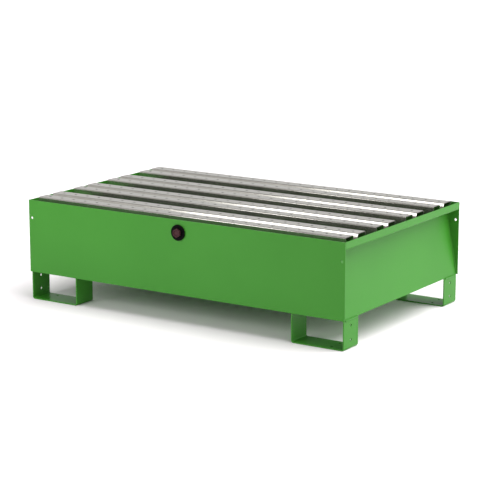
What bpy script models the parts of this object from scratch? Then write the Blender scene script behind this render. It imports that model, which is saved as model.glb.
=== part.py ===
"""Spill containment pallet for two drums: a welded sheet-steel sump on four U-shaped feet, covered by
four loose galvanised planks, with a screw plug in the front panel.

Metres, +Z up, +X along the width, -Y towards the front. The origin is on the floor, in the middle of the
whole outline, plug included.
"""

from math import cos, pi, radians, sin, tan

import bmesh
import bpy
from mathutils import Vector

# Overall sizes of the sump
WIDTH = 1.250
DEPTH = 0.765
SHEET = 0.003
PANEL_HEIGHT = 0.2505
FOOT_HEIGHT = 0.097
FIT = 0.0003  # space left between neighbouring pieces

# Side walls: each leans inwards, then folds out into a shelf and up into a lip
WALL_FOOT_INSET = 0.005
SHELF_WIDTH = 0.045
LIP_HEIGHT = 0.026
WALL_BEND = 0.002

# Feet
FOOT_LENGTH = 0.193
FOOT_DEPTH = 0.088
FOOT_SHEET = 0.004
FOOT_INSET = 0.004
FOOT_BEND = 0.004
FOOT_HOLE = 0.0045
FOOT_SIDE_HOLES = (0.029, 0.076)
FOOT_BASE_HOLE_X = 0.054
FOOT_BASE_HOLE_Y = 0.020

# Hanging holes in the top corners of both panels
CORNER_HOLE = 0.0045
CORNER_HOLE_X = 0.012
CORNER_HOLE_DROP = 0.0615

# Deck planks, each with two flat ribs and a trough between them
PLANK_COUNT = 4
PLANK_LENGTH = 1.213
PLANK_WIDTH = 0.124
PLANK_HEIGHT = 0.030
PLANK_SHEET = 0.0025
PLANK_PITCH = 0.1925
PLANK_BEND = 0.003
TROUGH_TOP = 0.030
TROUGH_FLOOR = 0.018
TROUGH_DEPTH = 0.024
HOLE_RADIUS = 0.0042
HOLE_PITCH = 0.050
HOLES_PER_ROW = 24
HOLE_SIDES = 8
HOLE_ROW_Y = 0.038

# Lugs on the shelves, one inside the front rib of each plank end
LUG_X = 0.5875
LUG_WIDTH = 0.036
LUG_HEIGHT = 0.014

# Screw plug in the front panel, about an axis along Y
PORT_DROP = 0.0415
PORT_BORE = 0.0133
GASKET_RADIUS = 0.0255
GASKET_THICKNESS = 0.002
BUSH_RADIUS = 0.0180
BUSH_FLANGE_RADIUS = 0.0265
BUSH_FLANGE_THICKNESS = 0.0035
BUSH_CHAMFER = 0.001
BUSH_LENGTH = 0.0185
BUSH_MOUTH_RADIUS = 0.0162
BUSH_MOUTH_DEPTH = 0.0030
NUT_ACROSS_FLATS = 0.046
NUT_THICKNESS = 0.008
PLUG_RADIUS = 0.0130
PLUG_COLLAR_RADIUS = 0.0185
PLUG_COLLAR_THICKNESS = 0.0015
PLUG_HEX_ACROSS_FLATS = 0.026
PLUG_HEX_HEIGHT = 0.0075
PLUG_LENGTH = 0.016
O_RING_RADIUS = 0.0147
O_RING_SECTION = 0.0012
O_RING_SIDES = 8
TURN_SEGMENTS = 32

# Drills, which are longer than any sheet or nut is thick, and the edge angle from which shading is sharp
DRILL_LENGTH = 0.020
DRILL_SIDES = 16
SHARP_ANGLE = radians(35)

# Levels and places that follow from the sizes above
PANEL_TOP = FOOT_HEIGHT + PANEL_HEIGHT
SHELF_TOP = PANEL_TOP - LIP_HEIGHT + SHEET
PORT_HEIGHT = PANEL_TOP - PORT_DROP
INNER_DEPTH = DEPTH - 2 * (SHEET + FIT)
PORT_STAND_OUT = GASKET_THICKNESS + BUSH_FLANGE_THICKNESS + PLUG_COLLAR_THICKNESS + PLUG_HEX_HEIGHT

PAINT = {"base": (0.088, 0.330, 0.052, 1), "metallic": 0.0, "roughness": 0.42}
ZINC = {"base": (0.52, 0.51, 0.49, 1), "metallic": 1.0, "roughness": 0.45}
BLACK_PLASTIC = {"base": (0.012, 0.012, 0.013, 1), "metallic": 0.0, "roughness": 0.40}
BROWN_PLASTIC = {"base": (0.050, 0.030, 0.026, 1), "metallic": 0.0, "roughness": 0.45}
RUBBER = {"base": (0.020, 0.020, 0.020, 1), "metallic": 0.0, "roughness": 0.80}


def clear_scene():
    for obj in list(bpy.data.objects):
        bpy.data.objects.remove(obj, do_unlink=True)


def material(name, look):
    mat = bpy.data.materials.new(name)
    mat.use_nodes = True
    shader = mat.node_tree.nodes["Principled BSDF"]
    shader.inputs["Base Color"].default_value = look["base"]
    shader.inputs["Metallic"].default_value = look["metallic"]
    shader.inputs["Roughness"].default_value = look["roughness"]
    return mat


def mesh_from(name, bm):
    bmesh.ops.recalc_face_normals(bm, faces=bm.faces)
    mesh = bpy.data.meshes.new(name)
    bm.to_mesh(mesh)
    bm.free()
    return mesh


def place(name, mesh, look, location=(0, 0, 0), parent=None):
    """Puts a mesh in the scene as one named piece."""
    obj = bpy.data.objects.new(name, mesh)
    obj.location = location
    obj.parent = parent
    if look and not mesh.materials:
        mesh.materials.append(look)
    bpy.context.collection.objects.link(obj)
    return obj


def box_mesh(name, low, high):
    bm = bmesh.new()
    bmesh.ops.create_cube(bm, size=1)
    size = Vector(high) - Vector(low)
    centre = (Vector(high) + Vector(low)) / 2
    bmesh.ops.scale(bm, vec=size, verts=bm.verts)
    bmesh.ops.translate(bm, vec=centre, verts=bm.verts)
    return mesh_from(name, bm)


def rounded(path, radius, steps=3):
    """A flat path with each inner corner replaced by an arc of the given radius."""
    points = [Vector(path[0])]
    for before, corner, after in zip(path, path[1:], path[2:]):
        corner = Vector(corner)
        incoming = (corner - Vector(before)).normalized()
        outgoing = (Vector(after) - corner).normalized()
        turn = incoming.angle_signed(outgoing)
        cut = radius * tan(abs(turn) / 2)
        side = Vector((incoming.y, -incoming.x)) if turn > 0 else Vector((-incoming.y, incoming.x))
        centre = corner - incoming * cut + side * radius
        start = -side * radius
        for step in range(steps + 1):
            angle = -turn * step / steps
            points.append(centre + Vector((start.x * cos(angle) - start.y * sin(angle),
                                           start.x * sin(angle) + start.y * cos(angle))))
    points.append(Vector(path[-1]))
    return points


def sheet_outline(path, thickness, bend):
    """The closed outline of a folded sheet whose middle line follows the path, bent to that inner radius."""
    line = rounded(path, bend + thickness / 2)
    left, right = [], []
    for index, point in enumerate(line):
        before = line[max(index - 1, 0)]
        after = line[min(index + 1, len(line) - 1)]
        into = (point - before).normalized() if index else (after - point).normalized()
        out = (after - point).normalized() if index < len(line) - 1 else into
        along = (into + out).normalized()
        reach = thickness / 2 / along.dot(into)
        normal = Vector((-along.y, along.x))
        left.append(point + normal * reach)
        right.append(point - normal * reach)
    return left + right[::-1]


def extruded_mesh(name, outline, to_3d, start, end):
    """A prism: the flat outline, placed in space by to_3d(u, v, w), drawn out from w = start to w = end."""
    bm = bmesh.new()
    ring = [bm.verts.new(to_3d(point[0], point[1], start)) for point in outline]
    face = bm.faces.new(ring)
    grown = bmesh.ops.extrude_face_region(bm, geom=[face])
    moved = [item for item in grown["geom"] if isinstance(item, bmesh.types.BMVert)]
    way = Vector(to_3d(0, 0, end)) - Vector(to_3d(0, 0, start))
    bmesh.ops.translate(bm, vec=way, verts=moved)
    return mesh_from(name, bm)


def along_x(y, z, x):
    return (x, y, z)


def along_y(x, z, y):
    return (x, y, z)


def turned_mesh(name, profile, segments=TURN_SEGMENTS):
    """A ring turned about the Y axis from a closed profile of (radius, y) points, none on the axis."""
    bm = bmesh.new()
    ring = [bm.verts.new((radius, y, 0)) for radius, y in profile]
    edges = [bm.edges.new((ring[i - 1], ring[i])) for i in range(len(ring))]
    bmesh.ops.spin(bm, geom=ring + edges, axis=(0, 1, 0), cent=(0, 0, 0), angle=2 * pi,
                   steps=segments, use_merge=True)
    bmesh.ops.remove_doubles(bm, verts=bm.verts, dist=1e-6)
    return mesh_from(name, bm)


def prism_mesh(name, sides, radius, start, end):
    """A solid prism or rod along Y, with a corner pointing up."""
    outline = [(radius * sin(2 * pi * i / sides), radius * cos(2 * pi * i / sides)) for i in range(sides)]
    return extruded_mesh(name, outline, along_y, start, end)


def hexagon_mesh(name, across_flats, start, end):
    return prism_mesh(name, 6, across_flats / 2 / cos(pi / 6), start, end)


def rods_mesh(name, centres, radius, axis, sides=DRILL_SIDES):
    """Several rods along one axis in one mesh, to drill several holes at once."""
    turn = {"X": Vector((0, 0, 1)).rotation_difference(Vector((1, 0, 0))),
            "Y": Vector((0, 0, 1)).rotation_difference(Vector((0, 1, 0))),
            "Z": Vector((0, 0, 1)).rotation_difference(Vector((0, 0, 1)))}[axis]
    bm = bmesh.new()
    for centre in centres:
        made = bmesh.ops.create_cone(bm, cap_ends=True, segments=sides, radius1=radius, radius2=radius,
                                     depth=DRILL_LENGTH)
        bmesh.ops.rotate(bm, cent=(0, 0, 0), matrix=turn.to_matrix(), verts=made["verts"])
        bmesh.ops.translate(bm, vec=centre, verts=made["verts"])
    return mesh_from(name, bm)


def combined(base, tool, operation="DIFFERENCE"):
    """The mesh left when one mesh is cut by another, or joined to it."""
    work = bpy.data.objects.new("work", base)
    cutter = bpy.data.objects.new("cutter", tool)
    for obj in (work, cutter):
        bpy.context.collection.objects.link(obj)
    modifier = work.modifiers.new("cut", "BOOLEAN")
    modifier.operation = operation
    modifier.solver = "EXACT"
    modifier.object = cutter
    graph = bpy.context.evaluated_depsgraph_get()
    result = bpy.data.meshes.new_from_object(work.evaluated_get(graph))
    result.name = base.name
    for obj in (work, cutter):
        bpy.data.objects.remove(obj, do_unlink=True)
    return result


def smooth(mesh):
    mesh.shade_smooth()
    mesh.set_sharp_from_angle(angle=SHARP_ANGLE)
    return mesh


def mirrored(mesh, name):
    """The mirror image of a mesh across the plane X = 0."""
    bm = bmesh.new()
    bm.from_mesh(mesh)
    bmesh.ops.scale(bm, vec=(-1, 1, 1), verts=bm.verts)
    bmesh.ops.reverse_faces(bm, faces=bm.faces)
    result = bpy.data.meshes.new(name)
    bm.to_mesh(result)
    bm.free()
    return result


def build_panels(paint, frame):
    """Front and rear panels: flat rectangles over the full width, with a hanging hole in each top corner."""
    hole_x = WIDTH / 2 - CORNER_HOLE_X
    hole_z = PANEL_TOP - CORNER_HOLE_DROP
    for name, facing in (("front_panel", -1), ("rear_panel", 1)):
        outer = facing * DEPTH / 2
        inner = facing * (DEPTH / 2 - SHEET)
        low = (-WIDTH / 2, min(inner, outer), FOOT_HEIGHT)
        high = (WIDTH / 2, max(inner, outer), PANEL_TOP)
        centres = [(x, outer, hole_z) for x in (-hole_x, hole_x)]
        mesh = combined(box_mesh(name, low, high), rods_mesh("corner_holes", centres, CORNER_HOLE, "Y"))
        if facing < 0:
            centre = (0, outer, PORT_HEIGHT)
            bore = rods_mesh("port_bore", [centre], BUSH_RADIUS + FIT, "Y", TURN_SEGMENTS)
            mesh = combined(mesh, bore)
        place(name, mesh, paint, parent=frame)


def build_tray(paint, frame):
    """The floor and the two side walls, which stand between the panels."""
    middle = SHEET / 2
    foot = (WIDTH / 2 - WALL_FOOT_INSET - middle, FOOT_HEIGHT)
    shelf_in = (WIDTH / 2 - SHELF_WIDTH - middle, SHELF_TOP - middle)
    shelf_out = (WIDTH / 2 - middle, SHELF_TOP - middle)
    lip_top = (WIDTH / 2 - middle, PANEL_TOP)
    outline = sheet_outline([foot, shelf_in, shelf_out, lip_top], SHEET, WALL_BEND)
    # The two points at the wall's foot are levelled, so that its cut edge lies flat
    for point in outline:
        if point.y < FOOT_HEIGHT + SHEET / 2:
            point.y = FOOT_HEIGHT
    right = extruded_mesh("side_wall_right", outline, along_y, -INNER_DEPTH / 2, INNER_DEPTH / 2)
    place("side_wall_right", right, paint, parent=frame)
    place("side_wall_left", mirrored(right, "side_wall_left"), paint, parent=frame)

    lean = (foot[0] - shelf_in[0]) / (shelf_in[1] - foot[1])
    floor_half = foot[0] - middle * (1 + lean) - lean * SHEET - 2 * FIT
    floor = box_mesh("floor_plate", (-floor_half, -INNER_DEPTH / 2, FOOT_HEIGHT),
                     (floor_half, INNER_DEPTH / 2, FOOT_HEIGHT + SHEET))
    place("floor_plate", floor, paint, parent=frame)


def build_feet(paint, frame):
    """Four U-shaped straps of flat bar, open upwards and welded under the corners of the sump."""
    middle = FOOT_SHEET / 2
    left, right = -FOOT_LENGTH / 2 + middle, FOOT_LENGTH / 2 - middle
    top = FOOT_HEIGHT - FIT
    path = [(left, top), (left, middle), (right, middle), (right, top)]
    outline = sheet_outline(path, FOOT_SHEET, FOOT_BEND)
    strap = extruded_mesh("foot", outline, along_y, -FOOT_DEPTH / 2, FOOT_DEPTH / 2)
    side = rods_mesh("side_holes", [(right, 0, z) for z in FOOT_SIDE_HOLES], FOOT_HOLE, "X")
    base_x = FOOT_LENGTH / 2 - FOOT_BASE_HOLE_X
    base_y = FOOT_DEPTH / 2 - FOOT_BASE_HOLE_Y
    base = rods_mesh("base_holes", [(base_x, y, middle) for y in (-base_y, base_y)], FOOT_HOLE, "Z")
    strap = combined(combined(strap, side), base)
    other = mirrored(strap, "foot_mirrored")

    x = WIDTH / 2 - FOOT_INSET - FOOT_LENGTH / 2
    y = DEPTH / 2 - FOOT_INSET - FOOT_DEPTH / 2
    for across, facing in (("left", -1), ("right", 1)):
        for along, side_y in (("front", -1), ("rear", 1)):
            mesh = strap if facing > 0 else other
            place(f"foot_{along}_{across}", mesh, paint, (facing * x, side_y * y, 0), frame)


def plank_mesh():
    """One plank: two flat ribs with a narrowing trough between them and a web turned down along each side."""
    middle = PLANK_SHEET / 2
    edge = PLANK_WIDTH / 2 - middle
    top = PLANK_HEIGHT - middle
    trough = PLANK_HEIGHT - TROUGH_DEPTH + middle
    mouth = TROUGH_TOP / 2 + middle
    floor = TROUGH_FLOOR / 2 + middle
    half = [(floor, trough), (mouth, top), (edge, top), (edge, 0)]
    path = [(-y, z) for y, z in half[::-1]] + half
    outline = sheet_outline(path, PLANK_SHEET, PLANK_BEND)
    plank = extruded_mesh("plank", outline, along_x, -PLANK_LENGTH / 2, PLANK_LENGTH / 2)
    centres = [(HOLE_PITCH * (i - (HOLES_PER_ROW - 1) / 2), y, PLANK_HEIGHT)
               for i in range(HOLES_PER_ROW) for y in (-HOLE_ROW_Y, HOLE_ROW_Y)]
    return combined(plank, rods_mesh("punched_holes", centres, HOLE_RADIUS, "Z", HOLE_SIDES))


def plank_centres():
    return [PLANK_PITCH * (i - (PLANK_COUNT - 1) / 2) for i in range(PLANK_COUNT)]


def build_planks(zinc, frame):
    """Four loose planks, which rest on the shelves."""
    mesh = plank_mesh()
    for number, y in enumerate(plank_centres(), start=1):
        place(f"deck_plank_{number}", mesh, zinc, (0, y, SHELF_TOP + FIT), frame)


def build_lugs(paint, frame):
    """Tabs welded on the shelves that stand inside the front rib of each plank and keep the planks apart."""
    rib = -(PLANK_WIDTH + TROUGH_TOP) / 4
    low = (-SHEET / 2, -LUG_WIDTH / 2, 0)
    high = (SHEET / 2, LUG_WIDTH / 2, LUG_HEIGHT)
    mesh = box_mesh("plank_lug", low, high)
    for across, facing in (("left", -1), ("right", 1)):
        for number, y in enumerate(plank_centres(), start=1):
            location = (facing * LUG_X, y + rib, SHELF_TOP + FIT)
            place(f"plank_lug_{across}_{number}", mesh, paint, location, frame)


def build_port(black, brown, rubber, frame):
    """The port near the top of the front panel: a bush held by a nut inside, closed by a screw plug."""
    port = bpy.data.objects.new("port_axis", None)
    port.location = (0, -DEPTH / 2, PORT_HEIGHT)
    port.parent = frame
    bpy.context.collection.objects.link(port)

    # Y is 0 at the panel's outer face and grows towards the inside
    back = -GASKET_THICKNESS
    face = back - BUSH_FLANGE_THICKNESS
    hole = BUSH_RADIUS + FIT
    gasket = turned_mesh("port_gasket", [(hole, -FIT), (GASKET_RADIUS, -FIT), (GASKET_RADIUS, back + FIT),
                                         (hole, back + FIT)])
    place("port_gasket", gasket, rubber, parent=port)

    mouth = face + BUSH_MOUTH_DEPTH
    bush = turned_mesh("port_bush", [
        (BUSH_FLANGE_RADIUS, back), (BUSH_FLANGE_RADIUS, face + BUSH_CHAMFER),
        (BUSH_FLANGE_RADIUS - BUSH_CHAMFER, face), (BUSH_MOUTH_RADIUS, face), (BUSH_MOUTH_RADIUS, mouth),
        (PORT_BORE, mouth), (PORT_BORE, BUSH_LENGTH), (BUSH_RADIUS, BUSH_LENGTH), (BUSH_RADIUS, back)])
    place("port_bush", smooth(bush), black, parent=port)

    nut_start = SHEET + FIT
    nut = hexagon_mesh("port_lock_nut", NUT_ACROSS_FLATS, nut_start, nut_start + NUT_THICKNESS)
    bore = rods_mesh("nut_bore", [(0, nut_start + NUT_THICKNESS / 2, 0)], hole, "Y", TURN_SEGMENTS)
    place("port_lock_nut", combined(nut, bore), black, parent=port)

    seat = mouth - FIT - O_RING_SECTION
    turns = [2 * pi * i / O_RING_SIDES for i in range(O_RING_SIDES)]
    ring = [(O_RING_RADIUS + O_RING_SECTION * cos(turn), seat + O_RING_SECTION * sin(turn)) for turn in turns]
    place("plug_o_ring", smooth(turned_mesh("plug_o_ring", ring)), rubber, parent=port)

    # The three solids of the plug reach into each other, and a union makes them one
    collar = face - FIT
    front = collar - PLUG_COLLAR_THICKNESS
    inside = collar - PLUG_COLLAR_THICKNESS / 2
    shank = prism_mesh("port_plug", TURN_SEGMENTS, PLUG_RADIUS, inside, collar + PLUG_LENGTH)
    disc = prism_mesh("plug_collar", TURN_SEGMENTS, PLUG_COLLAR_RADIUS, front, collar)
    hexagon = hexagon_mesh("plug_hexagon", PLUG_HEX_ACROSS_FLATS, front - PLUG_HEX_HEIGHT + FIT, inside)
    plug = combined(combined(shank, disc, "UNION"), hexagon, "UNION")
    place("port_plug", smooth(plug), brown, parent=port)


def main():
    clear_scene()
    frame = bpy.data.objects.new("pallet", None)
    frame.location = (0, PORT_STAND_OUT / 2, 0)
    bpy.context.collection.objects.link(frame)

    paint = material("green_paint", PAINT)
    zinc = material("galvanised_steel", ZINC)
    black = material("black_plastic", BLACK_PLASTIC)
    brown = material("brown_plastic", BROWN_PLASTIC)
    rubber = material("black_rubber", RUBBER)

    build_panels(paint, frame)
    build_tray(paint, frame)
    build_feet(paint, frame)
    build_planks(zinc, frame)
    build_lugs(paint, frame)
    build_port(black, brown, rubber, frame)


main()
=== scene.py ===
from math import cos, pi, radians, sin, tan

import bmesh
import bpy
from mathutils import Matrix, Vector


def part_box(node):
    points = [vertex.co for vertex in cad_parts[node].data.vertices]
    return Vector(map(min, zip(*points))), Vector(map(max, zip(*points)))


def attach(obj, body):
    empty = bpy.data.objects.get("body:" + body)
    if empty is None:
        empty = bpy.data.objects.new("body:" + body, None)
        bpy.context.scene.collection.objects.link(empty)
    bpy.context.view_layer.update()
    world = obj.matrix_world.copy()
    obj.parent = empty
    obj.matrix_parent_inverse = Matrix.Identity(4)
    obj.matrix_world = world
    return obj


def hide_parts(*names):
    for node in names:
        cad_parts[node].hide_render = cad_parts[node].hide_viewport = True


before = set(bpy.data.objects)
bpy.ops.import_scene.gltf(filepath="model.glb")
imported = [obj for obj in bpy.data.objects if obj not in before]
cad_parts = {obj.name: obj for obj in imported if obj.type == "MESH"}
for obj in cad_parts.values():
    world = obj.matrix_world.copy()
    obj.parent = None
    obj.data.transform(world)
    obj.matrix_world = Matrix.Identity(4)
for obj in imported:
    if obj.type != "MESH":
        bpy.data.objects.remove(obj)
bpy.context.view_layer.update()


# ---- Sump floor ----------------------------------------------------------------------------------
# A flat 3 mm steel plate that closes the sump from below. Once the whole sump is welded it is cleaned
# and powder coated in one green, which bakes into a satin skin with a fine orange peel.

PAINT_GREEN = (0.043, 0.224, 0.021, 1)
PAINT_DEEP_GREEN = (0.038, 0.208, 0.018, 1)
PAINT_FADED_GREEN = (0.050, 0.239, 0.026, 1)
PAINT_GLOSS = 0.20
PAINT_ROUGHNESS = 0.32
PAINT_CLOUD_SIZE = 0.35
PAINT_CLOUD_BAND = (0.35, 0.68)
PAINT_CLOUD_ROUGHNESS = 0.05
PEEL_SIZE = 0.0028
PEEL_DEPTH = 0.000022
PEEL_ROUGHNESS = 0.04
FLECK_SIZE = PEEL_SIZE / 4
FLECK_BAND = (0.70, 0.85)
FLECK_SHOW = 0.5


class Wire:
    """A number that changes over a surface: a node's output, with arithmetic on it."""

    def __init__(self, graph, socket):
        self.graph = graph
        self.socket = socket

    def math(self, operation, first, second):
        return self.graph.node("ShaderNodeMath", {"operation": operation}, {0: first, 1: second})

    def __add__(self, other):
        return self.math("ADD", self, other)

    def __mul__(self, other):
        return self.math("MULTIPLY", self, other)

    __radd__ = __add__
    __rmul__ = __mul__


class Graph:
    """A tree of shader nodes, which are all added in the same way."""

    def __init__(self, tree):
        self.tree = tree

    def node(self, kind, settings=None, inputs=None, output=0):
        """Adds a node with its settings, then the values or links of its sockets, and gives one output."""
        made = self.tree.nodes.new(kind)
        for name, value in (settings or {}).items():
            if name == "stops":
                self.set_stops(made.color_ramp, value)
            else:
                setattr(made, name, value)
        for socket, value in (inputs or {}).items():
            self.feed(made.inputs[socket], value)
        return Wire(self, made.outputs[output])

    def feed(self, socket, value):
        if isinstance(value, Wire):
            self.tree.links.new(value.socket, socket)
        else:
            socket.default_value = value

    def set_stops(self, ramp, stops):
        for element, (position, shade) in zip(ramp.elements, stops):
            element.position = position
            element.color = (shade, shade, shade, 1)


class Finish(Graph):
    """A surface finish: a Principled shader, and the nodes that vary it over the surface."""

    def __init__(self, name, constants):
        self.material = bpy.data.materials.new(name)
        self.material.use_nodes = True
        super().__init__(self.material.node_tree)
        self.shader = self.tree.nodes["Principled BSDF"]
        self.vary(constants)
        self.place = self.node("ShaderNodeTexCoord", output="Object")

    def vary(self, sockets):
        """Sets or links the shader's own sockets."""
        for name, value in sockets.items():
            self.feed(self.shader.inputs[name], value)

    def stretched(self, scale):
        """The piece's own coordinates, stretched by a factor for each axis."""
        return self.node("ShaderNodeMapping", inputs={"Vector": self.place, "Scale": scale})

    def noise(self, size, detail=2, place=None):
        """Cloudy noise from 0 to 1 whose largest features are about that size in metres."""
        inputs = {"Vector": place or self.place, "Scale": 1 / size, "Detail": detail}
        return self.node("ShaderNodeTexNoise", inputs=inputs)

    def ramp(self, value, low, high):
        """0 where the value is under low and 1 where it is over high."""
        return self.node("ShaderNodeValToRGB", {"stops": [(low, 0), (high, 1)]}, {0: value})

    def tint(self, mask, low, high):
        """A colour between two, by a mask."""
        return self.node("ShaderNodeMix", {"data_type": "RGBA"}, {0: mask, 6: low, 7: high}, output=2)

    def bump(self, height, depth):
        """Relief in the surface as deep as given where the height goes from 0 to 1."""
        inputs = {"Height": height, "Distance": depth, "Strength": 1.0}
        self.vary({"Normal": self.node("ShaderNodeBump", inputs=inputs)})


def powder_coat():
    """Satin green powder coat, a little uneven in tone and gloss, with a fine orange peel."""
    paint = Finish("green_powder_coat", {"Specular IOR Level": PAINT_GLOSS})
    cloud = paint.noise(PAINT_CLOUD_SIZE)
    fleck = paint.noise(FLECK_SIZE, detail=0)
    peel = paint.noise(PEEL_SIZE, detail=1)
    body = paint.tint(paint.ramp(cloud, *PAINT_CLOUD_BAND), PAINT_DEEP_GREEN, PAINT_GREEN)
    paint.vary({
        "Base Color": paint.tint(paint.ramp(fleck, *FLECK_BAND) * FLECK_SHOW, body, PAINT_FADED_GREEN),
        "Roughness": PAINT_ROUGHNESS + PAINT_CLOUD_ROUGHNESS * cloud + PEEL_ROUGHNESS * peel,
    })
    paint.bump(peel, PEEL_DEPTH)
    return paint.material


green_paint = powder_coat()


def recoat(node, material):
    """Gives a CAD node that keeps its shape a finer finish."""
    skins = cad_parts[node].data.materials
    skins.clear()
    skins.append(material)


recoat("floor_plate", green_paint)


# ---- Front and rear panels -----------------------------------------------------------------------
# Flat rectangles of 3 mm sheet as wide as the whole pallet, laser cut with a hanging hole near each
# top corner. The front one also has the bore for the port. The paint rounds their cut edges.

PANEL_HOLE_RADIUS = 0.0045
PANEL_HOLE_FROM_END = 0.012
PANEL_HOLE_DROP = 0.0615
PORT_BORE_RADIUS = 0.0183
DRILLED_SIDES = 24
BORED_SIDES = 64
PAINTED_EDGE = 0.0006
BEND_STEPS = 8
FLATNESS = radians(1)
SHARP_CORNER = radians(50)
JOINED_WITHIN = 0.00002

panel_low, panel_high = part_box("front_panel")
sheet = panel_high.y - panel_low.y
bush_low, bush_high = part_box("port_bush")
port_x = (bush_low.x + bush_high.x) / 2
port_z = (bush_low.z + bush_high.z) / 2


def flat_part(bm, start, end, sweep, holes):
    """A flat of a sheet from start to end, as wide as the sweep, with round holes cut in it."""
    corners = [start + sweep[0], start + sweep[1], end + sweep[1], end + sweep[0]]
    verts = [bm.verts.new(corner) for corner in corners]
    if not holes:
        bm.faces.new(verts)
        return
    rim = [bm.edges.new((verts[i - 1], verts[i])) for i in range(4)]
    across = (sweep[1] - sweep[0]).normalized()
    normal = (end - start).normalized().cross(across)
    turn = normal.to_track_quat("Z", "Y").to_matrix()
    for centre, radius, sides in holes:
        ring = bmesh.ops.create_circle(bm, cap_ends=False, segments=sides, radius=radius)["verts"]
        bmesh.ops.rotate(bm, cent=(0, 0, 0), matrix=turn, verts=ring)
        bmesh.ops.translate(bm, vec=centre, verts=ring)
        rim += {edge for vert in ring for edge in vert.link_edges}
    filled = bmesh.ops.triangle_fill(bm, use_beauty=True, edges=rim, normal=normal)["geom"]
    inner = [item for item in filled if isinstance(item, bmesh.types.BMEdge)]
    bmesh.ops.dissolve_limit(bm, angle_limit=FLATNESS, edges=inner, verts=[])


def folded_sheet(corners, sweep, bend=0.0, holes=None):
    """The middle surface of a sheet folded at the given corners and as wide as the sweep's two offsets.
    Its bends are shaded smooth and its flats flat. Holes are given for each flat by its number, as
    (centre, radius, sides)."""
    bm = bmesh.new()
    holes = holes or {}
    corners = [Vector(corner) for corner in corners]
    sweep = [Vector(offset) for offset in sweep]
    axis = (sweep[1] - sweep[0]).normalized()
    start = corners[0]
    for number, corner in enumerate(corners[1:]):
        way = (corner - corners[number]).normalized()
        if number == len(corners) - 2:
            flat_part(bm, start, corner, sweep, holes.get(number))
            break
        onward = (corners[number + 2] - corner).normalized()
        cut = bend * tan(way.angle(onward) / 2)
        end = corner - way * cut
        flat_part(bm, start, end, sweep, holes.get(number))
        side = (onward - way * way.dot(onward)).normalized()
        verts = [bm.verts.new(end + offset) for offset in sweep]
        edge = bm.edges.new(verts)
        turn = way.angle(onward) * (1 if way.cross(onward).dot(axis) > 0 else -1)
        flats = set(bm.faces)
        bmesh.ops.spin(bm, geom=verts + [edge], cent=end + side * bend, axis=axis, angle=turn,
                       steps=BEND_STEPS)
        for face in set(bm.faces) - flats:
            face.smooth = True
        start = corner + onward * cut
    bmesh.ops.remove_doubles(bm, verts=bm.verts, dist=JOINED_WITHIN)
    bmesh.ops.recalc_face_normals(bm, faces=bm.faces)
    return bm


def finished(name, bm, materials, body, replaced=()):
    """Makes a piece of a mesh and hangs it on its body in place of its CAD nodes."""
    mesh = bpy.data.meshes.new(name)
    bm.to_mesh(mesh)
    bm.free()
    piece = bpy.data.objects.new(name, mesh)
    bpy.context.collection.objects.link(piece)
    for material in materials:
        mesh.materials.append(material)
    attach(piece, body)
    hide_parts(*replaced)
    return piece


def painted(name, bm, *replaced):
    """A piece of the green welded tank."""
    return finished(name, bm, [green_paint], "tank", replaced)


def round_edges(piece, width, segments=2):
    """Rounds a piece's sharp edges."""
    rounding = piece.modifiers.new("rounded_edges", "BEVEL")
    rounding.width = width
    rounding.segments = segments
    rounding.limit_method = "ANGLE"
    rounding.angle_limit = SHARP_CORNER


def thicken(piece, thickness, edge, cut_steel_and_shade_skin=0):
    """Gives a sheet its thickness about its middle surface, and rounds its cut edges."""
    wall = piece.modifiers.new("thickness", "SOLIDIFY")
    wall.thickness = thickness
    wall.offset = 0
    wall.use_even_offset = True
    wall.material_offset_rim = cut_steel_and_shade_skin
    round_edges(piece, edge)


def build_panel(node):
    low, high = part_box(node)
    middle = (low.y + high.y) / 2
    hole_z = high.z - PANEL_HOLE_DROP
    holes = [((x, middle, hole_z), PANEL_HOLE_RADIUS, DRILLED_SIDES)
             for x in (low.x + PANEL_HOLE_FROM_END, high.x - PANEL_HOLE_FROM_END)]
    if node == "front_panel":
        holes.append(((port_x, middle, port_z), PORT_BORE_RADIUS, BORED_SIDES))
    path = [(0, middle, low.z), (0, middle, high.z)]
    bm = folded_sheet(path, [(low.x, 0, 0), (high.x, 0, 0)], holes={0: holes})
    thicken(painted(f"{node}_sheet", bm, node), high.y - low.y, PAINTED_EDGE)


build_panel("front_panel")
build_panel("rear_panel")


# ---- Side walls ----------------------------------------------------------------------------------
# One folded 3 mm sheet at each end: it leans inwards from the sump floor, folds out level as the shelf
# that the planks lie on, and turns up as a lip flush with the panels' ends and top edges.

WALL_BEND = 0.0035
WALL_FOOT_INSET = 0.005
PLANK_REST_GAP = 0.0003

wall_low, wall_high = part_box("side_wall_right")
half_width = panel_high.x
sump_bottom = panel_low.z
shelf_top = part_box("deck_plank_1")[0].z - PLANK_REST_GAP
shelf_width = half_width - wall_low.x - sheet


def build_side_wall(node, facing):
    middle = sheet / 2
    shelf_z = shelf_top - middle
    lip_x = half_width - middle
    path = [
        (half_width - WALL_FOOT_INSET - middle, sump_bottom),
        (lip_x - shelf_width, shelf_z),
        (lip_x, shelf_z),
        (lip_x, wall_high.z),
    ]
    corners = [(facing * x, 0, z) for x, z in path]
    bm = folded_sheet(corners, [(0, wall_low.y, 0), (0, wall_high.y, 0)], WALL_BEND)
    thicken(painted(f"{node}_sheet", bm, node), sheet, PAINTED_EDGE)


build_side_wall("side_wall_left", -1)
build_side_wall("side_wall_right", 1)


# ---- Feet ----------------------------------------------------------------------------------------
# Four U-shaped straps bent from 88 x 4 mm flat bar and welded under the sump's corners. Each has two
# fixing holes in its base near the outer end, and two more in its outer upright.

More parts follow.
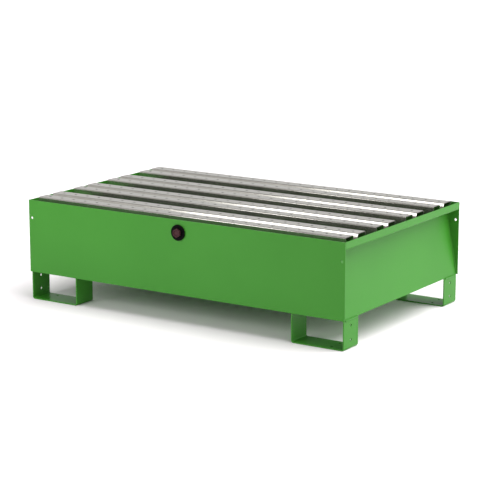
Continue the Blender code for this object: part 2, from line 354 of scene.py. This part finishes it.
FOOT_BAR = 0.004
FOOT_BEND = 0.006
FOOT_HOLE_RADIUS = 0.0045
FOOT_UPRIGHT_HOLE_HEIGHTS = (0.029, 0.076)
FOOT_BASE_HOLE_IN = 0.054
FOOT_BASE_HOLE_FROM_EDGE = 0.020
FOOT_BASE, FOOT_OUTER_UPRIGHT = 1, 2


def build_foot(along, across, facing):
    node = f"foot_{along}_{across}"
    low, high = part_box(node)
    middle = FOOT_BAR / 2
    outer_x, inner_x = (high.x, low.x) if facing > 0 else (low.x, high.x)
    outer = outer_x - facing * middle
    inner = inner_x + facing * middle
    centre_y = (low.y + high.y) / 2
    base_x = outer_x - facing * FOOT_BASE_HOLE_IN
    base = [((base_x, y, middle), FOOT_HOLE_RADIUS, DRILLED_SIDES)
            for y in (low.y + FOOT_BASE_HOLE_FROM_EDGE, high.y - FOOT_BASE_HOLE_FROM_EDGE)]
    upright = [((outer, centre_y, z), FOOT_HOLE_RADIUS, DRILLED_SIDES) for z in FOOT_UPRIGHT_HOLE_HEIGHTS]
    holes = {FOOT_BASE: base, FOOT_OUTER_UPRIGHT: upright}
    path = [(inner, 0, high.z), (inner, 0, middle), (outer, 0, middle), (outer, 0, high.z)]
    bm = folded_sheet(path, [(0, low.y, 0), (0, high.y, 0)], FOOT_BEND, holes)
    thicken(painted(f"{node}_strap", bm, node), FOOT_BAR, PAINTED_EDGE)


for across, facing in (("left", -1), ("right", 1)):
    for along in ("front", "rear"):
        build_foot(along, across, facing)


# ---- Weld beads ----------------------------------------------------------------------------------
# Fillet welds, painted over: up the outside of each end wall where it meets the panels, round the inside
# of the sump floor, and where the feet's uprights meet the sump.

BEAD_RADIUS = 0.0028
BEAD_RIPPLE = 0.0016
BEAD_SWELL = 1.10
BEAD_SIDES = 8
BEAD_STOPS_SHORT = 0.006


def weld_bead(bm, start, end):
    """A straight bead whose section swells and narrows with each ripple."""
    start, end = Vector(start), Vector(end)
    length = (end - start).length
    bead = bmesh.ops.create_cone(bm, cap_ends=True, segments=BEAD_SIDES, radius1=BEAD_RADIUS,
                                 radius2=BEAD_RADIUS, depth=length)["verts"]
    lengthwise = {edge for vert in bead for edge in vert.link_edges if edge.calc_length() > length / 2}
    rings = max(round(length / BEAD_RIPPLE), 2)
    bmesh.ops.subdivide_edges(bm, edges=list(lengthwise), cuts=rings, use_grid_fill=True)
    bead = [vert for vert in bm.verts if not vert.tag]
    for vert in bead:
        vert.tag = True
        if round((vert.co.z / length + 0.5) * (rings + 1)) % 2:
            vert.co.x *= BEAD_SWELL
            vert.co.y *= BEAD_SWELL
    turn = Vector((0, 0, 1)).rotation_difference(end - start).to_matrix()
    bmesh.ops.rotate(bm, cent=(0, 0, 0), matrix=turn, verts=bead)
    bmesh.ops.translate(bm, vec=(start + end) / 2, verts=bead)


floor_low, floor_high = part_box("floor_plate")

end_seams = bmesh.new()
for facing in (-1, 1):
    for y in (floor_low.y, floor_high.y):
        foot = (facing * (half_width - WALL_FOOT_INSET), y, sump_bottom + BEAD_STOPS_SHORT)
        head = (facing * (half_width - shelf_width - BEAD_RADIUS), y, shelf_top - sheet - BEAD_STOPS_SHORT)
        weld_bead(end_seams, foot, head)
painted("end_seam_welds", end_seams)

floor_seams = bmesh.new()
for y in (floor_low.y, floor_high.y):
    weld_bead(floor_seams, (floor_low.x, y, floor_high.z), (floor_high.x, y, floor_high.z))
for x in (floor_low.x, floor_high.x):
    weld_bead(floor_seams, (x, floor_low.y, floor_high.z), (x, floor_high.y, floor_high.z))
painted("floor_seam_welds", floor_seams)

foot_seams = bmesh.new()
for across in ("left", "right"):
    for along in ("front", "rear"):
        low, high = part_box(f"foot_{along}_{across}")
        for x in (low.x, high.x):
            start = (x, low.y + BEAD_STOPS_SHORT, high.z)
            weld_bead(foot_seams, start, (x, high.y - BEAD_STOPS_SHORT, high.z))
painted("foot_seam_welds", foot_seams)


# ---- Deck planks ---------------------------------------------------------------------------------
# Four loose planks rolled from 2.5 mm galvanised strip: a level rib each side of a narrow trough, a web
# turned down along each long edge, and a row of punched drain holes in each rib. The cut ends and the
# holes' walls show duller bare steel, painted near black as painted shade so the holes read dark.

PLANK_SHEET = 0.0025
PLANK_BEND = 0.0020
TROUGH_HALF_TOP = 0.01625
TROUGH_HALF_FLOOR = 0.01025
TROUGH_MIDDLE_Z = 0.00725
PUNCH_RADIUS = 0.0042
PUNCH_PITCH = 0.050
PUNCH_COUNT = 24
PUNCH_SIDES = 16
PUNCH_ROW_Y = 0.038
PUNCHED_EDGE = 0.0004
FRONT_RIB, REAR_RIB = 1, 5

ZINC_LIGHT = (0.572, 0.554, 0.507, 1)
ZINC_DARK = (0.482, 0.468, 0.427, 1)
# Near black, far darker than bare steel: painted shade, so the punched holes and the cut ends read dark.
CUT_STEEL_AND_SHADE = (0.060, 0.056, 0.052, 1)
ZINC_TONE_BAND = (0.30, 0.80)
ZINC_ROUGHNESS = 0.14
ZINC_RELIEF = 0.0000012
SPANGLE_SIZE = 0.009
STREAK_SIZE = 0.0016
ROLLING_STRETCH = (0.012, 1.0, 1.0)
BLOOM_SIZE = 0.06
TEAR_SIZE = 0.0008
TEAR_DEPTH = 0.00004


def galvanised():
    """Dull hot-dip zinc: spangled crystals of slightly different grey and gloss, drawn by the rolls."""
    zinc = Finish("galvanised_zinc", {"Metallic": 0.92})
    spangle_place = {"Vector": zinc.place, "Scale": 1 / SPANGLE_SIZE}
    spangle = zinc.node("ShaderNodeTexVoronoi", inputs=spangle_place, output="Color")
    crystal = zinc.node("ShaderNodeSeparateColor", inputs={0: spangle})
    streak = zinc.noise(STREAK_SIZE, place=zinc.stretched(ROLLING_STRETCH))
    bloom = zinc.noise(BLOOM_SIZE, detail=3)
    tone = 0.25 * crystal + 0.35 * streak + 0.5 * bloom
    zinc.vary({
        "Base Color": zinc.tint(zinc.ramp(tone, *ZINC_TONE_BAND), ZINC_DARK, ZINC_LIGHT),
        "Roughness": ZINC_ROUGHNESS + 0.03 * crystal + 0.03 * streak + 0.05 * bloom,
    })
    zinc.bump(0.5 * streak + 0.5 * crystal, ZINC_RELIEF)
    return zinc.material


def sheared_steel_and_shade():
    """The bare, torn edge that shearing and punching leave, painted near black as painted shade so the
    punched holes read dark.
    """
    steel = Finish("sheared_steel_and_shade", {"Metallic": 0.9})
    tear = steel.noise(TEAR_SIZE, detail=3)
    steel.vary({
        "Base Color": steel.tint(tear * 0.4, CUT_STEEL_AND_SHADE, ZINC_DARK),
        "Roughness": 0.45 + 0.2 * tear,
    })
    steel.bump(tear, TEAR_DEPTH)
    return steel.material


zinc_skin = galvanised()
cut_steel_and_shade_skin = sheared_steel_and_shade()


def punched_row(first_x, y, z):
    """The drain holes along one rib."""
    return [((first_x + PUNCH_PITCH * number, y, z), PUNCH_RADIUS, PUNCH_SIDES)
            for number in range(PUNCH_COUNT)]


def build_plank(node, body):
    low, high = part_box(node)
    middle = PLANK_SHEET / 2
    centre = (low.y + high.y) / 2
    edge = high.y - centre - middle
    rib_z = high.z - middle
    trough_z = low.z + TROUGH_MIDDLE_Z
    half = [(TROUGH_HALF_FLOOR, trough_z), (TROUGH_HALF_TOP, rib_z), (edge, rib_z), (edge, low.z)]
    path = [(0, centre - y, z) for y, z in reversed(half)] + [(0, centre + y, z) for y, z in half]
    first_x = (low.x + high.x) / 2 - PUNCH_PITCH * (PUNCH_COUNT - 1) / 2
    holes = {
        FRONT_RIB: punched_row(first_x, centre - PUNCH_ROW_Y, rib_z),
        REAR_RIB: punched_row(first_x, centre + PUNCH_ROW_Y, rib_z),
    }
    bm = folded_sheet(path, [(low.x, 0, 0), (high.x, 0, 0)], PLANK_BEND, holes)
    piece = finished(f"{node}_profile", bm, [zinc_skin, cut_steel_and_shade_skin], body, [node])
    # The rims, cut ends and hole walls take the near-black cut steel, which is painted shade in the holes.
    thicken(piece, PLANK_SHEET, PUNCHED_EDGE, cut_steel_and_shade_skin=1)


for number in range(1, 5):
    build_plank(f"deck_plank_{number}", f"plank_{number}")


# ---- Plank lugs ----------------------------------------------------------------------------------
# Small upright tabs of 3 mm sheet with rounded top corners, welded on the shelves inside the front rib
# of each plank end. They keep the loose planks in their places.

LUG_CORNER = 0.006
LUG_CORNER_STEPS = 6


def build_lug(node):
    low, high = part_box(node)
    bm = bmesh.new()
    outline = [(low.y, low.z), (high.y, low.z), (high.y, high.z), (low.y, high.z)]
    verts = [bm.verts.new(((low.x + high.x) / 2, y, z)) for y, z in outline]
    bm.faces.new(verts)
    bmesh.ops.bevel(bm, geom=verts[2:], offset=LUG_CORNER, offset_type="OFFSET", segments=LUG_CORNER_STEPS,
                    profile=0.5, affect="VERTICES", material=-1)
    thicken(painted(f"{node}_tab", bm, node), high.x - low.x, PAINTED_EDGE)


for across in ("left", "right"):
    for number in range(1, 5):
        build_lug(f"plank_lug_{across}_{number}")


# ---- Port ----------------------------------------------------------------------------------------
# A moulded black bush clamped in the front panel by a lock nut and a rubber gasket. A black screw plug,
# whose recessed hexagon head is moulded in brown, closes it on an O-ring; its thread is right-handed.

BLACK_MOULDED = (0.0015, 0.0015, 0.0015, 1)
BROWN_MOULDED = (0.048, 0.018, 0.020, 1)
BLACK_RUBBER = (0.012, 0.012, 0.012, 1)
PLASTIC_GRAIN = 0.00002
RUBBER_GRAIN = 0.00004
GRAIN_SIZE = 0.0009
GRAIN_ROUGHNESS = 0.1
MOULD_CLOUD_SIZE = 0.02
MOULD_CLOUD_BAND = (0.35, 0.65)
MOULD_CLOUD_PALER = 1.25
TURNED_STEPS = 96
MOULDED_EDGE = 0.0006
FINE_EDGE = 0.0003

GASKET_RADII = (0.0183, 0.0255)
GASKET_OUT = (0.0003, 0.0017)

BUSH_BORE = 0.0133
BUSH_SEAT = 0.0162
BUSH_SHANK = 0.0180
BUSH_FLANGE = 0.0265
BUSH_INNER_OUT = -0.0185
BUSH_BACK_OUT = 0.0020
BUSH_SEAT_OUT = 0.0025
BUSH_FACE_OUT = 0.0055

O_RING_RADIUS = 0.0147
O_RING_SECTION = 0.0012
O_RING_OUT = 0.0040
O_RING_SIDES = 16

NUT_ACROSS_FLATS = 0.046
NUT_BORE = 0.0183
NUT_THICKNESS = 0.008
NUT_EDGE = 0.0010

PLUG_HEX_ACROSS_FLATS = 0.026
PLUG_HEX_RIM = 0.0035
PLUG_HEX_OUT = 0.0145
PLUG_RECESS = 0.0030
PLUG_RECESS_DRAFT = 0.0003
PLUG_COLLAR_RADIUS = 0.0185
PLUG_COLLAR_OUT = (0.0058, 0.0073)
PLUG_SHOULDER_RADIUS = 0.0130
PLUG_SHOULDER_OUT = (0.0032, 0.0060)
PLUG_CORE_RADIUS = 0.0120
PLUG_CORE_OUT = (-0.0102, 0.0040)
THREAD_PITCH = 0.004
THREAD_TURNS = 2.75
THREAD_START_OUT = -0.0086
THREAD_ROOT_RADIUS = 0.0118
THREAD_ROOT_HALF = 0.0013
THREAD_CREST_RADIUS = 0.0130
THREAD_CREST_HALF = 0.0005

panel_face = panel_low.y
outwards = Vector((0, 0, 1)).rotation_difference(Vector((0, -1, 0))).to_matrix()


def mould_piece(name, bm, materials, body, replaced, edge=0.0, segments=2):
    """Makes a turned or moulded piece, shaded smooth but for its flats, with rounded edges."""
    bmesh.ops.recalc_face_normals(bm, faces=bm.faces)
    for face in bm.faces:
        face.smooth = True
    piece = finished(name, bm, materials, body, replaced)
    if edge:
        round_edges(piece, edge, segments)
    shading = piece.modifiers.new("even_flats", "WEIGHTED_NORMAL")
    shading.weight = 100


def mould_skin(name, colour, grain_depth, gloss, roughness):
    """Moulded plastic or rubber with a fine grain from the mould."""
    plastic = Finish(name, {"Specular IOR Level": gloss})
    grain = plastic.noise(GRAIN_SIZE)
    cloud = plastic.noise(MOULD_CLOUD_SIZE, detail=1)
    paler = tuple(MOULD_CLOUD_PALER * channel for channel in colour[:3]) + (1,)
    plastic.vary({
        "Base Color": plastic.tint(plastic.ramp(cloud, *MOULD_CLOUD_BAND), colour, paler),
        "Roughness": roughness + GRAIN_ROUGHNESS * grain,
    })
    plastic.bump(grain, grain_depth)
    return plastic.material


black_plastic = mould_skin("black_moulded_plastic", BLACK_MOULDED, PLASTIC_GRAIN, gloss=0.04, roughness=0.40)
brown_plastic = mould_skin("brown_moulded_plastic", BROWN_MOULDED, PLASTIC_GRAIN, gloss=0.10, roughness=0.37)
black_rubber = mould_skin("black_rubber", BLACK_RUBBER, RUBBER_GRAIN, gloss=0.12, roughness=0.75)


def port_point(radius, out):
    """A point beside the port's axis, at a distance out in front of the panel."""
    return (port_x + radius, panel_face - out, port_z)


def turned(bm, profile, angle=2 * pi, steps=TURNED_STEPS, advance=0.0):
    """A closed profile of (radius, out) points turned about the port's axis, moving out as it turns."""
    verts = [bm.verts.new(port_point(radius, out)) for radius, out in profile]
    edges = [bm.edges.new((verts[i - 1], verts[i])) for i in range(len(verts))]
    bmesh.ops.spin(bm, geom=verts + edges, cent=port_point(0, 0), axis=(0, -1, 0), angle=angle, steps=steps,
                   dvec=(0, -advance / steps, 0), use_merge=not advance)
    open_ends = [edge for edge in bm.edges if edge.is_boundary]
    bmesh.ops.holes_fill(bm, edges=open_ends, sides=len(profile))


def rod(bm, radius, out, sides=TURNED_STEPS):
    """A solid rod or prism on the port's axis, with a corner pointing up."""
    made = bmesh.ops.create_cone(bm, cap_ends=True, segments=sides, radius1=radius, radius2=radius,
                                 depth=out[1] - out[0])["verts"]
    bmesh.ops.rotate(bm, cent=(0, 0, 0), matrix=outwards, verts=made)
    bmesh.ops.translate(bm, vec=port_point(0, (out[0] + out[1]) / 2), verts=made)


def hexagon_corner(across_flats):
    """How far a hexagon's corners are from its middle."""
    return across_flats / 2 / cos(pi / 6)


def build_gasket():
    bm = bmesh.new()
    bore, rim = GASKET_RADII
    back, front = GASKET_OUT
    turned(bm, [(bore, back), (rim, back), (rim, front), (bore, front)])
    mould_piece("port_gasket_ring", bm, [black_rubber], "tank", ["port_gasket"], FINE_EDGE)


def build_bush():
    bm = bmesh.new()
    flange = [(BUSH_SHANK, BUSH_BACK_OUT), (BUSH_FLANGE, BUSH_BACK_OUT), (BUSH_FLANGE, BUSH_FACE_OUT)]
    seat = [(BUSH_SEAT, BUSH_FACE_OUT), (BUSH_SEAT, BUSH_SEAT_OUT), (BUSH_BORE, BUSH_SEAT_OUT)]
    inner_end = [(BUSH_BORE, BUSH_INNER_OUT), (BUSH_SHANK, BUSH_INNER_OUT)]
    turned(bm, flange + seat + inner_end)
    mould_piece("port_bush_moulding", bm, [black_plastic], "tank", ["port_bush"],
                MOULDED_EDGE, segments=3)


def build_o_ring():
    bm = bmesh.new()
    angles = [2 * pi * side / O_RING_SIDES for side in range(O_RING_SIDES)]
    turned(bm, [(O_RING_RADIUS + O_RING_SECTION * cos(angle), O_RING_OUT + O_RING_SECTION * sin(angle))
                for angle in angles])
    mould_piece("plug_seal_ring", bm, [black_rubber], "seal_ring", ["plug_o_ring"])


def build_lock_nut():
    low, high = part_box("port_lock_nut")
    bm = bmesh.new()
    rim = set()
    for sides, radius in ((6, hexagon_corner(NUT_ACROSS_FLATS)), (TURNED_STEPS, NUT_BORE)):
        ring = bmesh.ops.create_circle(bm, cap_ends=False, segments=sides, radius=radius)["verts"]
        rim |= {edge for vert in ring for edge in vert.link_edges}
    bmesh.ops.triangle_fill(bm, use_beauty=True, edges=list(rim), normal=(0, 0, 1))
    bmesh.ops.rotate(bm, cent=(0, 0, 0), matrix=outwards, verts=bm.verts)
    bmesh.ops.translate(bm, vec=(port_x, (low.y + high.y) / 2, port_z), verts=bm.verts)
    piece = finished("port_nut_moulding", bm, [black_plastic], "tank", ["port_lock_nut"])
    thicken(piece, NUT_THICKNESS, NUT_EDGE)


def build_plug():
    bm = bmesh.new()
    rod(bm, hexagon_corner(PLUG_HEX_ACROSS_FLATS), (PLUG_COLLAR_OUT[0], PLUG_HEX_OUT), sides=6)
    head = min(bm.faces, key=lambda face: face.calc_center_median().y)
    bmesh.ops.inset_region(bm, faces=[head], thickness=PLUG_HEX_RIM)
    bmesh.ops.inset_region(bm, faces=[head], thickness=PLUG_RECESS_DRAFT)
    bmesh.ops.translate(bm, vec=(0, PLUG_RECESS, 0), verts=head.verts)
    hexagon = set(bm.faces)
    rod(bm, PLUG_COLLAR_RADIUS, PLUG_COLLAR_OUT)
    rod(bm, PLUG_SHOULDER_RADIUS, PLUG_SHOULDER_OUT)
    rod(bm, PLUG_CORE_RADIUS, PLUG_CORE_OUT)
    ridge = [
        (THREAD_ROOT_RADIUS, THREAD_START_OUT + THREAD_ROOT_HALF),
        (THREAD_CREST_RADIUS, THREAD_START_OUT + THREAD_CREST_HALF),
        (THREAD_CREST_RADIUS, THREAD_START_OUT - THREAD_CREST_HALF),
        (THREAD_ROOT_RADIUS, THREAD_START_OUT - THREAD_ROOT_HALF),
    ]
    steps = round(TURNED_STEPS * THREAD_TURNS / 2)
    turned(bm, ridge, 2 * pi * THREAD_TURNS, steps, advance=THREAD_PITCH * THREAD_TURNS)
    for face in bm.faces:
        face.material_index = 0 if face in hexagon else 1
    mould_piece("port_plug_moulding", bm, [brown_plastic, black_plastic], "plug",
                ["port_plug"], FINE_EDGE)


build_gasket()
build_bush()
build_o_ring()
build_lock_nut()
build_plug()


# ---- Floor, light and camera ---------------------------------------------------------------------
# A plain pale studio floor that runs out into a white backdrop, under a sky that is brighter low down than
# high up. A wide soft light hangs overhead, one panel stands in front to the left and one to the right.

CAMERA_AIM = (0.081, -0.076, 0.202)
CAMERA_DISTANCE = 6.30
CAMERA_AZIMUTH = radians(33.163)
CAMERA_ELEVATION = radians(12.613)
CAMERA_LENS = 135.1
CAMERA_SENSOR = 36
FLOOR_COLOUR = (0.93, 0.885, 0.91, 1)
FLOOR_HALF_WIDTH = 60
BACKDROP_WHITE = (1, 1, 1, 1)
BACKDROP = 1.05
HORIZON_LIGHT = 0.70
HIGH_LIGHT = 0.36
HORIZON_BAND = (0.42, 0.62)
OVERHEAD_STRENGTH = 3.3
OVERHEAD_SPREAD = radians(60)

floor_bm = bmesh.new()
bmesh.ops.create_grid(floor_bm, x_segments=1, y_segments=1, size=FLOOR_HALF_WIDTH)
floor_mesh = bpy.data.meshes.new("studio_floor")
floor_bm.to_mesh(floor_mesh)
floor_bm.free()
floor_looks = {"Base Color": FLOOR_COLOUR, "Roughness": 0.9, "Specular IOR Level": 0.1}
floor_mesh.materials.append(Finish("pale_floor", floor_looks).material)
studio_floor = bpy.data.objects.new("studio_floor", floor_mesh)
bpy.context.collection.objects.link(studio_floor)

world = bpy.data.worlds.new("studio")
world.use_nodes = True
background = world.node_tree.nodes["Background"]
background.inputs["Color"].default_value = BACKDROP_WHITE
sky = Graph(world.node_tree)
direction = sky.node("ShaderNodeTexCoord", output="Generated")
height = sky.node("ShaderNodeSeparateXYZ", inputs={"Vector": direction}, output="Z")
light_given = sky.node("ShaderNodeMapRange", inputs={
    "Value": height,
    "From Min": HORIZON_BAND[0],
    "From Max": HORIZON_BAND[1],
    "To Min": HORIZON_LIGHT,
    "To Max": HIGH_LIGHT,
})
seen = sky.node("ShaderNodeLightPath", output="Is Camera Ray")
strength = sky.node("ShaderNodeMapRange", inputs={"Value": seen, "To Min": light_given, "To Max": BACKDROP})
sky.feed(background.inputs["Strength"], strength)
bpy.context.scene.world = world


def hang(name, lamp, place, aim):
    """Puts a light in its place, turned towards its aim and hidden from the camera."""
    holder = bpy.data.objects.new(name, lamp)
    holder.location = place
    holder.rotation_euler = (Vector(aim) - Vector(place)).to_track_quat("-Z", "Y").to_euler()
    holder.visible_camera = False
    bpy.context.collection.objects.link(holder)


def soft_panel(name, place, aim, size, power):
    """Hangs a rectangular light."""
    lamp = bpy.data.lights.new(name, "AREA")
    lamp.shape = "RECTANGLE"
    lamp.size, lamp.size_y = size
    lamp.energy = power
    hang(name, lamp, place, aim)


overhead = bpy.data.lights.new("overhead", "SUN")
overhead.energy = OVERHEAD_STRENGTH
overhead.angle = OVERHEAD_SPREAD
hang("overhead", overhead, place=(1.25, 0.55, 3.0), aim=(0, 0, 0))
soft_panel("front_left", place=(-0.50, -1.6, 0.85), aim=(-0.50, 0, 0.85), size=(0.9, 0.7), power=10)
soft_panel("right_side", place=(2.7, 1.3, 1.0), aim=(0.6, 0.2, 0.2), size=(2.2, 1.6), power=32)

camera = bpy.data.objects.new("camera", bpy.data.cameras.new("camera"))
camera.data.lens = CAMERA_LENS
camera.data.sensor_width = CAMERA_SENSOR
away = Vector((sin(CAMERA_AZIMUTH) * cos(CAMERA_ELEVATION), -cos(CAMERA_AZIMUTH) * cos(CAMERA_ELEVATION),
               sin(CAMERA_ELEVATION)))
camera.location = Vector(CAMERA_AIM) + away * CAMERA_DISTANCE
camera.rotation_euler = (pi / 2 - CAMERA_ELEVATION, 0, CAMERA_AZIMUTH)
bpy.context.collection.objects.link(camera)
bpy.context.scene.camera = camera
bpy.context.scene.view_settings.view_transform = "Standard"
